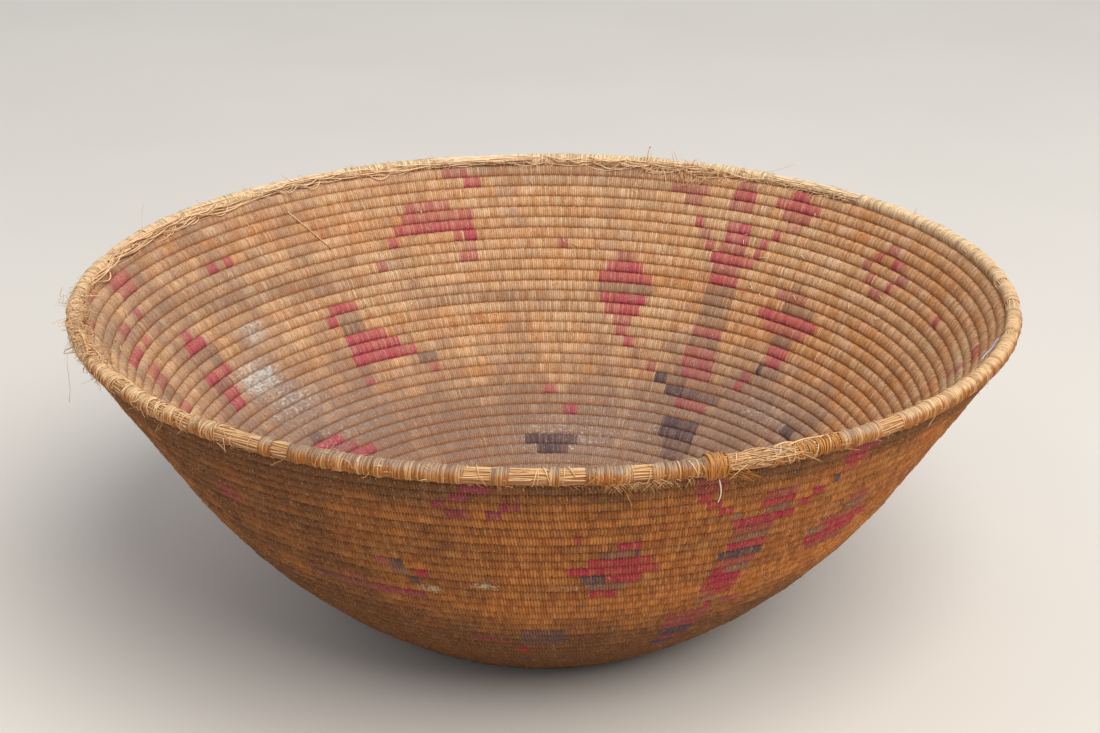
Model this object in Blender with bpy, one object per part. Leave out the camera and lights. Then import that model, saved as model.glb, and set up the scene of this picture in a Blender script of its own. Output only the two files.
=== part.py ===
"""A wide gathering basket in coiled grass, at its real size.

Metres, +Z up, the origin under the middle of the base and the front towards -Y. The basket is one long
wrapped bundle of grass, laid in a spiral from the middle of the base to the rim, with a bundle of split
stalks bound along its top edge. A place on the wall is given by its distance along the basket's side
outline, measured from the middle of the base, and by its turn around the basket.
"""
import math

import bmesh
import bpy
import numpy as np

# Side outline: a flat base, a short heel bend, the long bend of the lower wall and a straight upper wall
FLAT_BASE_RADIUS = 0.102
HEEL_BEND_RADIUS = 0.030
LOWER_WALL_BEND_RADIUS = 0.410
UPPER_WALL_LENGTH = 0.110
HEEL_ANGLE = math.radians(30)
RIM_ANGLE = math.radians(57.5)

# Coil: each loop stands for two courses of the basket, side by side, with a groove between them on both faces
COURSE_THICKNESS = 0.009
COURSES_PER_LOOP = 2
COURSE_GROOVE_DEPTH = 0.0029
COIL_START_RADIUS = 0.0045
LOOP_GAP = 0.0006
COIL_TIP_WIDTH = 0.003
COIL_TIP_THICKNESS = 0.005

# Stations in one turn of the coil; the rim has the same ones, so it lies on the wall all the way round
LOOP_STATIONS = 24

# Where one length of the coil ends and the next begins, as a share of the straight run between stations
JOIN_RUN_SHARE = 0.5

# Centre knot
KNOT_EDGE_BEVEL = 0.0012
KNOT_BEVEL_SEGMENTS = 2
KNOT_EDGE_ANGLE = math.radians(60)

# Rim: a bundle of stalks, the strand wound round it and the knotted tie that holds its ends
BUNDLE_DIAMETER = 0.0094
WRAP_THICKNESS = 0.0006
TIE_SWELL = 0.0022
RIM_SIDES = 10
TIE_RINGS = 5

# Clearance between two pieces that touch on the real basket
PIECE_GAP = 0.0003

# Where strand covers the rim, in degrees around it: 0 is +X, 90 the back and 270 the front
WRAP_SPANS = (
    (54.8, 66.2),
    (71.8, 92.0),
    (107.5, 121.0),
    (137.0, 160.0),
    (172.0, 186.0),
    (208.0, 215.5),
    (218.0, 223.5),
    (230.0, 234.0),
    (243.5, 262.2),
    (264.8, 266.8),
    (274.2, 278.8),
    (280.8, 286.0),
    (302.0, 307.5),
    (310.5, 340.0),
    (342.0, 349.5),
    (352.5, 358.5),
    (360.5, 399.0),
)
LASHING_SPANS = (
    (226.0, 228.0),
    (240.0, 241.5),
    (270.5, 271.7),
    (293.5, 295.0),
)
TIE_SPAN = (286.0, 288.5)

# The wall coil is divided into three lengths, given by the shares of its turns at which they end
WALL_COILS = ("lower_wall_coil", "middle_wall_coil", "upper_wall_coil")
WALL_COIL_END_SHARES = (0.34, 0.67, 1)

# The crest of each of a loop's two courses is at this share of its width from its edge
LOOP_SHOULDER_SHARE = 0.25

# Colours in linear red, green and blue
COIL_COLOUR = (0.33, 0.16, 0.062, 1)
BASE_COLOUR = (0.24, 0.13, 0.066, 1)
BUNDLE_COLOUR = (0.58, 0.34, 0.13, 1)
WRAP_COLOUR = (0.36, 0.20, 0.09, 1)
DRY_ROUGHNESS = 0.85

# Faces that meet at less than this are shaded as one curved surface
SMOOTH_ANGLE = math.radians(82)

# Worked out from the sizes above
LOOP_PITCH = COURSES_PER_LOOP * COURSE_THICKNESS
LOOP_WIDTH = LOOP_PITCH - LOOP_GAP
OUTLINE_STRETCHES = (
    (FLAT_BASE_RADIUS, 0, 0),
    (HEEL_BEND_RADIUS * HEEL_ANGLE, 0, HEEL_ANGLE),
    (LOWER_WALL_BEND_RADIUS * (RIM_ANGLE - HEEL_ANGLE), HEEL_ANGLE, RIM_ANGLE),
    (UPPER_WALL_LENGTH, RIM_ANGLE, RIM_ANGLE),
)
OUTLINE_LENGTH = sum(length for length, start, end in OUTLINE_STRETCHES)
BASE_LENGTH = FLAT_BASE_RADIUS + HEEL_BEND_RADIUS * HEEL_ANGLE
TOP_TURN_START = OUTLINE_LENGTH - COIL_TIP_WIDTH - LOOP_PITCH * (LOOP_STATIONS - 1) / LOOP_STATIONS
WRAP_BORE = BUNDLE_DIAMETER / 2 + PIECE_GAP
WRAP_RADIUS = WRAP_BORE + WRAP_THICKNESS


def outline_point(distance):
    """Radius and height of the coil's middle surface at a distance along the side outline."""
    radius = 0
    height = COURSE_THICKNESS / 2
    for length, start, end in OUTLINE_STRETCHES:
        run = min(distance, length)
        angle = start + (end - start) * run / length
        if start == end:
            radius += run * math.cos(start)
            height += run * math.sin(start)
        else:
            bend = length / (end - start)
            radius += bend * (math.sin(angle) - math.sin(start))
            height += bend * (math.cos(start) - math.cos(angle))
        distance -= run
    return np.array((radius, height))


def around(points, angle):
    """Places points of radius and height in the upright plane at an angle around the basket."""
    points = np.asarray(points)
    return np.column_stack((points[:, 0] * math.cos(angle), points[:, 0] * math.sin(angle), points[:, 1]))


def coil_ring(station):
    """The coil's eight-sided section at a whole station, from its inner edge round its upper face.

    The inner edge climbs the outline by one pitch a turn, and the outer edge keeps a loop's width from it.
    From the first station past the coil's tip, one turn below it, the outer edge follows the level top of
    the wall instead, and the last turn thins to the tip. Each face has a crest for each of the loop's two
    courses and a groove between them, which gets shallower as the coil thins.
    """
    inner = COIL_START_RADIUS + LOOP_PITCH * station / LOOP_STATIONS
    width = LOOP_WIDTH
    if inner > TOP_TURN_START:
        width = OUTLINE_LENGTH - inner
    low = outline_point(inner)
    high = outline_point(inner + width)
    along = (high - low) / np.linalg.norm(high - low)
    across = np.array((-along[1], along[0]))
    fullness = min(1, (width - COIL_TIP_WIDTH) / (LOOP_WIDTH - COIL_TIP_WIDTH))
    thickness = COIL_TIP_THICKNESS + (COURSE_THICKNESS - COIL_TIP_THICKNESS) * fullness
    shoulder = along * width * LOOP_SHOULDER_SHARE
    lift = across * thickness / 2
    middle = (low + high) / 2
    dip = lift - across * COURSE_GROOVE_DEPTH * fullness
    section = (low, low + shoulder + lift, middle + dip, high - shoulder + lift,
               high, high - shoulder - lift, middle - dip, low + shoulder - lift)
    return around(section, math.tau * station / LOOP_STATIONS)


def rim_ring(station, radius, shift=0):
    """A round section at a whole station of the rim, moved by shift away from the wall."""
    outward = np.array((math.cos(RIM_ANGLE), math.sin(RIM_ANGLE)))
    inward = np.array((-outward[1], outward[0]))
    seat = outline_point(OUTLINE_LENGTH)
    centre = seat + outward * (PIECE_GAP + WRAP_RADIUS + shift)
    turns = math.tau * np.arange(RIM_SIDES) / RIM_SIDES
    section = centre - radius * (np.outer(np.cos(turns), outward) + np.outer(np.sin(turns), inward))
    return around(section, math.tau * station / LOOP_STATIONS)


def station_at(degrees):
    """The station at an angle around the basket."""
    return math.radians(degrees) / math.tau * LOOP_STATIONS


def between(ring, station, *sizes):
    """A section at any station: part way along the straight run between two whole stations."""
    before = math.floor(station)
    part = station - before
    return (1 - part) * ring(before, *sizes) + part * ring(before + 1, *sizes)


def run_length(ring, station, *sizes):
    """Length of the straight run that holds a station, along the middle of the section."""
    before = math.floor(station)
    step = ring(before + 1, *sizes) - ring(before, *sizes)
    return np.linalg.norm(step.mean(axis=0))


def stations_from(first, last):
    """Both ends and the whole stations between them."""
    inside = [station for station in range(math.ceil(first), math.floor(last) + 1) if first < station < last]
    return [first, *inside, last]


def matter(name, colour):
    """A dry plant surface of one colour."""
    material = bpy.data.materials.new(name)
    material.use_nodes = True
    shader = material.node_tree.nodes["Principled BSDF"]
    shader.inputs["Base Color"].default_value = colour
    shader.inputs["Roughness"].default_value = DRY_ROUGHNESS
    shader.inputs["Metallic"].default_value = 0
    return material


def add_object(name, mesh, colour):
    """Puts a mesh in the scene under its piece's name, with its own material."""
    mesh.materials.append(matter(name, colour))
    piece = bpy.data.objects.new(name, mesh)
    bpy.context.collection.objects.link(piece)
    return piece


def skin(name, rows, colour, bore=None):
    """A closed solid through a row of sections. A second row, bore, leaves it open from end to end."""
    grid = bmesh.new()
    outside = [[grid.verts.new(point) for point in row] for row in rows]
    walls = [outside]
    if bore is not None:
        inside = [[grid.verts.new(point) for point in row] for row in bore]
        walls.append(inside)
    for wall in walls:
        for row, following in zip(wall, wall[1:]):
            for side in range(len(row)):
                beside = (side + 1) % len(row)
                grid.faces.new((row[side], row[beside], following[beside], following[side]))
    for end in (0, -1):
        if bore is None:
            grid.faces.new(outside[end])
            continue
        for side in range(len(outside[end])):
            beside = (side + 1) % len(outside[end])
            grid.faces.new((outside[end][side], outside[end][beside], inside[end][beside], inside[end][side]))
    bmesh.ops.recalc_face_normals(grid, faces=grid.faces)
    mesh = bpy.data.meshes.new(name)
    grid.to_mesh(mesh)
    grid.free()
    mesh.shade_smooth()
    mesh.set_sharp_from_angle(angle=SMOOTH_ANGLE)
    return add_object(name, mesh, colour)


def coil_length(name, first, last, colour):
    """One unbroken length of the coil between two stations, half the piece gap short at each end."""
    half_gap = PIECE_GAP / 2
    first += half_gap / run_length(coil_ring, first)
    last -= half_gap / run_length(coil_ring, last)
    rows = [between(coil_ring, station) for station in stations_from(first, last)]
    return skin(name, rows, colour)


def knot():
    """The start of the spiral: a flat block that fills the first loop, with a step for the coil's end."""
    outline = [(COIL_START_RADIUS - PIECE_GAP, -PIECE_GAP)]
    for station in range(1, LOOP_STATIONS):
        turn = station / LOOP_STATIONS
        radius = COIL_START_RADIUS + LOOP_PITCH * turn - PIECE_GAP
        outline.append((radius * math.cos(math.tau * turn), radius * math.sin(math.tau * turn)))
    outline.append((COIL_START_RADIUS + LOOP_PITCH - PIECE_GAP, -PIECE_GAP))
    rows = [[(x, y, height) for x, y in outline] for height in (0, COURSE_THICKNESS)]
    block = skin("centre_knot", rows, BASE_COLOUR)
    bevel = block.modifiers.new("Edges", "BEVEL")
    bevel.width = KNOT_EDGE_BEVEL
    bevel.segments = KNOT_BEVEL_SEGMENTS
    bevel.limit_method = "ANGLE"
    bevel.angle_limit = KNOT_EDGE_ANGLE


def sleeve(name, span, colour):
    """Strand wound over a stretch of the rim bundle, as one thin sleeve."""
    first, last = (station_at(degrees) for degrees in span)
    half_gap = PIECE_GAP / 2 / run_length(rim_ring, first, WRAP_RADIUS)
    stations = stations_from(first + half_gap, last - half_gap)
    rows = [between(rim_ring, station, WRAP_RADIUS) for station in stations]
    bore = [between(rim_ring, station, WRAP_BORE) for station in stations]
    return skin(name, rows, colour, bore)


def tie():
    """The knotted tie: a barrel over the bundle's two ends that swells away from the wall."""
    first, last = (station_at(degrees) for degrees in TIE_SPAN)
    half_gap = PIECE_GAP / 2 / run_length(rim_ring, first, WRAP_RADIUS)
    rows = []
    bore = []
    for station in np.linspace(first + half_gap, last - half_gap, TIE_RINGS):
        swell = TIE_SWELL * math.sin(math.pi * (station - first) / (last - first))
        rows.append(between(rim_ring, station, WRAP_RADIUS + swell, swell))
        bore.append(between(rim_ring, station, WRAP_BORE))
    return skin("rim_tie", rows, WRAP_COLOUR, bore)


def bundle():
    """The rim bundle, once round the basket, with its two ends face to face inside the tie."""
    middle = station_at(sum(TIE_SPAN) / 2)
    half_gap = PIECE_GAP / 2 / run_length(rim_ring, middle, BUNDLE_DIAMETER / 2)
    stations = stations_from(middle + half_gap, middle + LOOP_STATIONS - half_gap)
    rows = [between(rim_ring, station, BUNDLE_DIAMETER / 2) for station in stations]
    return skin("rim_bundle", rows, BUNDLE_COLOUR)


def least_loop_gap(last):
    """Least distance between a loop's outer edge and the next loop's inner edge, on the coil's points."""
    inner_edge = 0
    outer_edge = 4
    gaps = []
    for station in range(math.floor(last) - LOOP_STATIONS + 1):
        here = coil_ring(station)[outer_edge]
        beside = coil_ring(station + LOOP_STATIONS)[inner_edge]
        gaps.append(np.linalg.norm(beside - here))
    return min(gaps)


for existing in list(bpy.data.objects):
    bpy.data.objects.remove(existing, do_unlink=True)

coil_end = (OUTLINE_LENGTH - COIL_TIP_WIDTH - COIL_START_RADIUS) / LOOP_PITCH * LOOP_STATIONS
base_end = round((BASE_LENGTH - COIL_START_RADIUS) / LOOP_PITCH * LOOP_STATIONS) + JOIN_RUN_SHARE
knot()
coil_length("base_coil", 0, base_end, BASE_COLOUR)
length_start = base_end
for name, share in zip(WALL_COILS, WALL_COIL_END_SHARES):
    length_end = coil_end
    if share < 1:
        length_end = round(base_end + (coil_end - base_end) * share) + JOIN_RUN_SHARE
    coil_length(name, length_start, length_end, COIL_COLOUR)
    length_start = length_end

bundle()
tie()
for number, span in enumerate(WRAP_SPANS, 1):
    sleeve(f"rim_wrap_{number:02d}", span, WRAP_COLOUR)
for number, span in enumerate(LASHING_SPANS, 1):
    sleeve(f"rim_lashing_{number:02d}", span, WRAP_COLOUR)

print(f"coil: {coil_end / LOOP_STATIONS:.2f} loops, least gap to itself {least_loop_gap(coil_end):.6f} m")
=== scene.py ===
"""The looks of a wide gathering basket in coiled grass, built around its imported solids.

Metres, +Z up, the front towards -Y. Angles around the basket are in degrees, seen from above: 0 is +X,
90 the back and 270 the front.
"""
import math

import bpy
import numpy as np
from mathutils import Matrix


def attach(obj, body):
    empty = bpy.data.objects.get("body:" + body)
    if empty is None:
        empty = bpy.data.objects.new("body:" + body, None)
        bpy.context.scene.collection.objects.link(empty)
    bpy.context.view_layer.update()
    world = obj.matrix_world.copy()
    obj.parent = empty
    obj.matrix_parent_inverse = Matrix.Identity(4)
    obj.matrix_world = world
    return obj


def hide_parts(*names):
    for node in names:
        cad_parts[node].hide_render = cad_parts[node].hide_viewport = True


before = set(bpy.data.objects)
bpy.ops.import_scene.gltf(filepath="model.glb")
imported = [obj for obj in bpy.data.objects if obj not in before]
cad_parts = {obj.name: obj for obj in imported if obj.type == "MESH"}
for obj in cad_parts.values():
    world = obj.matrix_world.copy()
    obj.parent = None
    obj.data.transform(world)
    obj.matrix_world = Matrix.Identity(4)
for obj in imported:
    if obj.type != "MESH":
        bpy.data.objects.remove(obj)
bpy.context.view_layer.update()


# The view: the photograph was taken from just in front of the basket, looking down into it, in soft
# daylight from above and a little from the right.
CAMERA_PLACE = (0.0039, -1.3457, 0.7110)
CAMERA_DIP = 0.37598
CAMERA_LENS = 66.94
SENSOR_WIDTH = 36.0
LAMP_PLACE = (1.5, -2.4, 3.9)
LAMP_SIZE = 3.9
LAMP_WATTS = 232
LAMP_COLOUR = "#FFFAF2"
SKY_LEVEL = 0.62
SKY_COLOUR = "#F4F6FA"


def linear(colour):
    """A written sRGB colour as linear red, green, blue and alpha."""
    levels = np.array([int(colour[place:place + 2], 16) for place in (1, 3, 5)]) / 255
    curve = np.where(levels <= 0.04045, levels / 12.92, ((levels + 0.055) / 1.055) ** 2.4)
    return (*curve, 1.0)


def into_scene(name, data, place=(0, 0, 0), turned=(0, 0, 0)):
    """A new object in the scene that carries a camera, a lamp or a mesh."""
    carrier = bpy.data.objects.new(name, data)
    carrier.location = place
    carrier.rotation_euler = turned
    bpy.context.collection.objects.link(carrier)
    return carrier


camera = bpy.data.cameras.new("camera")
camera.lens = CAMERA_LENS
camera.sensor_width = SENSOR_WIDTH
bpy.context.scene.camera = into_scene("camera", camera, CAMERA_PLACE, (math.pi / 2 - CAMERA_DIP, 0, 0))
bpy.context.scene.view_settings.view_transform = "Standard"

lamp = bpy.data.lights.new("daylight", "AREA")
lamp.shape = "DISK"
lamp.size = LAMP_SIZE
lamp.energy = LAMP_WATTS
lamp.color = linear(LAMP_COLOUR)[:3]
aim = np.array(LAMP_PLACE) / np.linalg.norm(LAMP_PLACE)
into_scene("daylight", lamp, LAMP_PLACE, (math.acos(aim[2]), 0, math.atan2(aim[1], aim[0]) + math.pi / 2))

sky = bpy.data.worlds.new("sky")
sky.use_nodes = True
sky_shader = sky.node_tree.nodes["Background"]
sky_shader.inputs["Color"].default_value = linear(SKY_COLOUR)
sky_shader.inputs["Strength"].default_value = SKY_LEVEL
bpy.context.scene.world = sky


# The floor: a plain pale painted surface, matt and faintly mottled, wide enough to fill the view.
FLOOR_REACH = 6.0
FLOOR_COLOUR = "#DEDAD4"
FLOOR_DEEPER = "#D6D2CB"
MOTTLE_SIZE = 0.35
# The colour mix node's own places for its factor, its two colours and its result
FACTOR, COLOUR_A, COLOUR_B, MIXED = 0, 6, 7, 2


def add(tree, kind, sockets=None, give=0, **settings):
    """Adds one node and gives one of its outputs. Settings are the node's own; sockets take a value or the
    output that they are linked to."""
    made = tree.nodes.new("ShaderNode" + kind)
    for name, value in settings.items():
        setattr(made, name, value)
    for name, value in (sockets or {}).items():
        if isinstance(value, bpy.types.NodeSocket):
            tree.links.new(value, made.inputs[name])
        else:
            made.inputs[name].default_value = value
    return made.outputs[give]


def surface(name, roughness, specular=0.5):
    """A new material, its node tree and its shader."""
    material = bpy.data.materials.new(name)
    material.use_nodes = True
    shader = material.node_tree.nodes["Principled BSDF"]
    shader.inputs["Roughness"].default_value = roughness
    shader.inputs["Specular IOR Level"].default_value = specular
    return material, material.node_tree, shader


floor_paint, tree, shader = surface("matt_floor_paint", 0.9)
place = add(tree, "TexCoord", give="Object")
mottle = add(tree, "TexNoise", {"Vector": place, "Scale": 1 / MOTTLE_SIZE})
mixed = add(tree, "Mix", {FACTOR: mottle, COLOUR_A: linear(FLOOR_COLOUR), COLOUR_B: linear(FLOOR_DEEPER)},
            MIXED, data_type="RGBA")
tree.links.new(mixed, shader.inputs["Base Color"])

floor_mesh = bpy.data.meshes.new("floor")
corners = FLOOR_REACH * np.array(((-1, -1, 0), (1, -1, 0), (1, 1, 0), (-1, 1, 0)))
floor_mesh.from_pydata(corners.tolist(), [], [(0, 1, 2, 3)])
floor_mesh.materials.append(floor_paint)
floor = into_scene("floor", floor_mesh)


# The courses: one long bundle of dry grass laid in a spiral from the middle of the base to the rim, every
# course wrapped in flat grass strand and sewn by it to the course below. Dyed strand makes the motifs.
BASE_RADIUS = 0.102
HEEL_BEND_RADIUS = 0.030
LOWER_WALL_BEND_RADIUS = 0.410
UPPER_WALL_LENGTH = 0.110
HEEL_ANGLE = math.radians(30)
RIM_ANGLE = math.radians(57.5)
COURSE_PITCH = 0.009
COURSE_HALF_THICKNESS = 0.0046
COURSES = 46
COURSE_WANDER = 0.00028
COURSE_LAP = 0.0005
FIRST_TURN = -2.0
LEAST_RADIUS = 0.0035
CENTRE_RADIUS = 0.0002
TIP_WIDTH = 0.0015
STRAND_PITCH = 0.0018
STRAND_RELIEF = 0.00034
STRAND_UNEVENNESS = 0.00011
FIBRE_UNEVENNESS = 0.00006
TURN_STEPS = 720
# Where a turn starts its climb to the next course and for how long it climbs, as shares of a turn
CLIMB_START = 140 / 360
CLIMB_LENGTH = 80 / 360
# Points round a course: where each lies, from its upper edge over the inside and back along the outside,
# how square the section is there, how far ahead the strand has got, and its share of the strand's relief
SECTION_DEGREES = (180, 148, 114, 66, 32, 0, -32, -66, -114, -148)
SQUARENESS = (2.4, 2.7, 2.7, 2.7, 2.7, 2.4, 2.15, 2.15, 2.15, 2.15)
SECTION_LEAD = (0, 0.07, 0.15, 0.24, 0.33, 0.4, 0.5, 0.64, 0.78, 0.9)
RELIEF_SHARES = (0.3, 0.9, 1.0, 1.0, 0.9, 0.3, 1.0, 1.1, 1.1, 1.0)
SECTION_POINTS = len(SECTION_DEGREES)
OUTLINE = (
    (BASE_RADIUS, 0, 0),
    (HEEL_BEND_RADIUS * HEEL_ANGLE, 0, HEEL_ANGLE),
    (LOWER_WALL_BEND_RADIUS * (RIM_ANGLE - HEEL_ANGLE), HEEL_ANGLE, RIM_ANGLE),
    (UPPER_WALL_LENGTH, RIM_ANGLE, RIM_ANGLE),
)
OUTLINE_LENGTH = sum(length for length, start, end in OUTLINE)
SPIRAL_START = OUTLINE_LENGTH - COURSES * COURSE_PITCH


def drift(place, seed, longest, shares=6):
    """A wandering value between about -1 and 1: a sum of sine waves, each two thirds as long as the one
    before it and a little weaker, with random starts."""
    order = np.arange(shares)
    start = np.random.default_rng(seed).uniform(0, math.tau, shares)
    weight = 0.8 ** order
    waves = np.sin(np.multiply.outer(place, math.tau / (longest * 0.66 ** order)) + start)
    return waves @ weight / math.sqrt((weight ** 2).sum() * 1.4)


def eased(share):
    """A share of a way held between 0 and 1, with a smooth start and a smooth end."""
    share = np.clip(share, 0, 1)
    return share ** 2 * (3 - 2 * share)


def outline(distance):
    """Radius, height and slope of the wall's middle surface at distances along the side outline. A straight
    run keeps its slope. A bend turns evenly, so a point on it has moved by the bend's radius times the
    change in the slope's sine and cosine."""
    radius = np.zeros_like(distance)
    height = np.full_like(distance, COURSE_PITCH / 2)
    slope = np.zeros_like(distance)
    left = distance
    for length, start, end in OUTLINE:
        run = np.minimum(left, length) if length != UPPER_WALL_LENGTH else left
        angle = start + (end - start) * run / length
        if start == end:
            radius += run * math.cos(start)
            height += run * math.sin(start)
        else:
            bend = length / (end - start)
            radius += bend * (np.sin(angle) - math.sin(start))
            height += bend * (math.cos(start) - np.cos(angle))
        slope = np.where(left > 0, angle, slope)
        left = np.maximum(left - length, 0)
    return radius, height, slope


def inner_edge(turns):
    """Distance up the outline of a course's lower edge. On the wall the courses lie level and climb by one
    course in a smooth step at the left; towards the base the climb spreads over the whole turn. A small
    wander keeps the rows hand-made."""
    passed = turns - CLIMB_START
    level = np.floor(passed)
    stepped = level + eased((passed - level) / CLIMB_LENGTH)
    settled = np.clip((turns - 8) / 8, 0, 1)
    climb = turns + (stepped - turns) * settled
    wander = COURSE_WANDER * drift(turns, 11, 1.37)
    return np.minimum(SPIRAL_START + COURSE_PITCH * climb + wander, OUTLINE_LENGTH)


def make_mesh(name, points, groups, material, values=None):
    """A piece from arrays: its points, and groups of faces with equally many corners, each with its place
    on the strand map. Values are named arrays with one number or three for each face of each group."""
    mesh = bpy.data.meshes.new(name)
    points = np.asarray(points, np.float32).reshape(-1, 3)
    corners = np.concatenate([faces.reshape(-1) for faces, places in groups])
    sizes = np.concatenate([np.full(len(faces), faces.shape[1]) for faces, places in groups])
    mesh.vertices.add(len(points))
    mesh.vertices.foreach_set("co", points.ravel())
    mesh.loops.add(len(corners))
    mesh.loops.foreach_set("vertex_index", corners.astype(np.int32))
    mesh.polygons.add(len(sizes))
    mesh.polygons.foreach_set("loop_start", (np.cumsum(sizes) - sizes).astype(np.int32))
    mesh.update(calc_edges=True)
    strand_map = mesh.uv_layers.new(name="strand")
    places = np.concatenate([places.reshape(-1, 2) for faces, places in groups])
    strand_map.data.foreach_set("uv", places.astype(np.float32).ravel())
    for word, parts in (values or {}).items():
        flat = np.concatenate(parts).astype(np.float32)
        kind, field = ("FLOAT_VECTOR", "vector") if flat.ndim == 2 else ("FLOAT", "value")
        mesh.attributes.new(word, kind, "FACE").data.foreach_set(field, flat.ravel())
    mesh.materials.append(material)
    mesh.shade_smooth()
    return into_scene(name, mesh)


def wound_faces(rings, sides, lead, first_ring=0):
    """Faces of a tube wound by a strand. Each ring's last point joins the first point of the ring that is
    one strand further on, so the rows of points run round the tube as the strand does. Two caps close it.
    The map place is the strand's number and the share of the way round."""
    ring, side = np.indices((rings - 1, sides))
    skip = np.where(side == sides - 1, lead, 0)
    beside = (side + 1) % sides
    quads = np.stack((ring * sides + side, (ring + 1) * sides + side,
                      (ring + 1 + skip) * sides + beside, (ring + skip) * sides + beside), axis=-1)
    kept = ring + 1 + skip < rings
    strand = (first_ring + np.stack((ring, ring + 1, ring + 1, ring), axis=-1)) / lead
    around = np.stack((side, side, side + 1, side + 1), axis=-1) / sides
    quad_map = np.stack((strand, around), axis=-1)[kept]
    start_cap = np.concatenate((np.arange(sides), np.arange(lead, 0, -1) * sides))
    last = (rings - 1) * sides
    end_cap = np.concatenate((last + np.arange(sides), last + sides - 1 - np.arange(1, lead + 1) * sides))
    caps = [(cap[None, :], np.zeros((1, len(cap), 2))) for cap in (start_cap, end_cap[::-1])]
    return [(quads[kept], quad_map), *caps], ring[kept], side[kept]


# Motif steps as sewn: course counted down from the rim, then from, to (degrees) and dye for each step.
MOTIFS = {
    1: "46.7 49.7 R, 56.3 59 D, 102.3 106 D, 171.3 173.8 p, 180.1 184 P, 261.5 264.5 M, 285.4 289 D, "
       "303.5 308 D",
    2: "44.2 52.3 R, 56 59.5 R, 63.7 70 D, 100.3 103 R, 168.7 175.8 P, 189 194 P, 260 262 M, 285.4 289 D, "
       "304 307 R",
    3: "26.6 29 D, 45.3 50.5 D, 55.7 60 D, 64.7 67.5 D, 169.1 174.2 P, 258 259.3 M, 265.3 267.3 M, "
       "286.3 288.1 R, 305 306.5 P",
    4: "24.2 27 R, 29.2 30.6 R, 46.5 49 p, 105.5 113.2 P, 347 351 P, 259.2 261.7 M, 263.7 265.5 M, "
       "287.8 289.3 R, 295 299 D, 303.8 305 K",
    5: "21.3 23.8 D, 30.8 32.3 D, 49.4 51 R, 55 59.3 R, 63.3 65 R, 102 114.2 P, 146.4 148.1 R, "
       "149.8 151.8 R, 172.3 174.6 P, 178.6 182.6 P, 289.5 291.3 R, 295 299.4 R, 302 303.7 R",
    6: "8.2 9.5 R, 23.8 25.5 R, 28.7 30.3 R, 51.2 52.5 R, 55 59 R, 61.8 63.5 D, 102 115.5 R, "
       "349.5 351.5 P, 292 293 G, 296 299.4 G, 300.8 302.3 R",
    7: "25.2 28.2 D, 52 53.2 R, 55 59.7 D, 60.8 62.3 R, 101.5 103.7 R, 104.3 105.7 R, 115.4 117 R, "
       "175 178 P, 180 187 R, 352 353.7 P, 226 229 D, 273.2 273.9 R, 292.4 300.8 R",
    8: "52.8 60.7 R, 86.3 88 D, 102 104.5 p, 226 229 D, 278.6 281.3 R, 293.2 298.5 D, 311 314.5 D",
    9: "42 44 G, 54.8 59.8 D, 74.5 77.3 D, 101.8 105.2 P, 118.2 120.3 D, 164.4 166.4 R, 179.2 184 P, "
       "276.9 280.9 G, 280.9 281.7 K, 293.5 298.5 G, 311.5 314.5 G",
    10: "39.8 46.2 D, 54.5 59.8 R, 72.5 78.8 R, 161.7 167.7 R, 178.6 183.5 D, 275.3 283.2 R, "
        "293.3 299 R, 307.8 316 D",
    11: "37 44 G, 54.2 60 G, 70.6 80.4 R, 159.7 168 G, 178.5 184 G, 247.5 249.8 D, 249.8 252 K, "
        "272.8 284.2 R, 292.5 299 K, 306.5 309.5 G, 309.5 318.3 R",
    12: "35.2 48.3 R, 54.2 60 G, 69.5 80.5 G, 126.3 132 R, 160 163 G, 178.5 182 G, 249.5 252 G, "
        "252.9 254.7 R, 274.4 277.6 K, 277.6 282.4 R, 293 298.7 D, 307 317.3 R",
    13: "36.8 46.8 P, 54.2 60 G, 70.8 79.8 R, 125.8 130.5 G, 131 133 R, 159.2 167.8 R, 178 182 P, "
        "251.8 253 K, 275.5 281.2 G, 292.8 295 R, 295 298.4 G, 308.3 315.2 D",
    14: "38.7 43.5 G, 54.2 60.2 G, 71.8 78.6 R, 126 130.5 k, 160.8 166.9 m, 240 244 d, 275.9 279.9 R, "
        "292.7 298 R",
    15: "38.8 43.3 R, 54.3 60.5 P, 73.2 76.8 P, 122 130.6 R, 160.8 165.4 R, 234 245 m, 245 253.2 M, "
        "292.5 298.2 R",
    16: "39.2 42.7 R, 53.8 60.6 G, 73.8 76 R, 120 130.6 R, 161.3 164.9 R, 292.7 295 D, 295 298 R",
    17: "42.5 43.8 K, 53.8 60.7 P, 71.7 73.8 R, 117 130.8 R, 292.7 296.7 G",
    18: "44 46.5 P, 53.7 61 P, 70 71.5 G, 113 117 k, 128 130.5 G, 295 296 R, 298 301.4 D",
    19: "45 47.4 R, 53.2 60.3 P, 65.8 68 D, 112.7 114.7 D, 128 130.4 D, 289.5 297 D",
    20: "58 60.5 G, 62.8 65.5 K, 266 274 k, 289.5 297 D",
    21: "25.5 29.5 K, 49 58 k, 58 62.5 K, 266 274 k, 289.5 297 D",
    22: "50.8 58.8 P, 86.8 90.5 P, 30 32 p, 148 152 k, 258 263.5 D, 266 274 k, 290.8 296.7 K",
    23: "143.3 152 R, 291 296.7 K",
    24: "50.5 60.5 K, 82.2 85.3 R, 140.5 149 D, 265.3 267 R, 291.8 296 R",
    25: "50.3 60.5 K, 136.5 147 R, 291 296 K",
    26: "50 58 k, 292 297 d",
    27: "50 57 k, 81 95.5 K, 265 267 K",
    28: "83.5 92.5 K",
}
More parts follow.
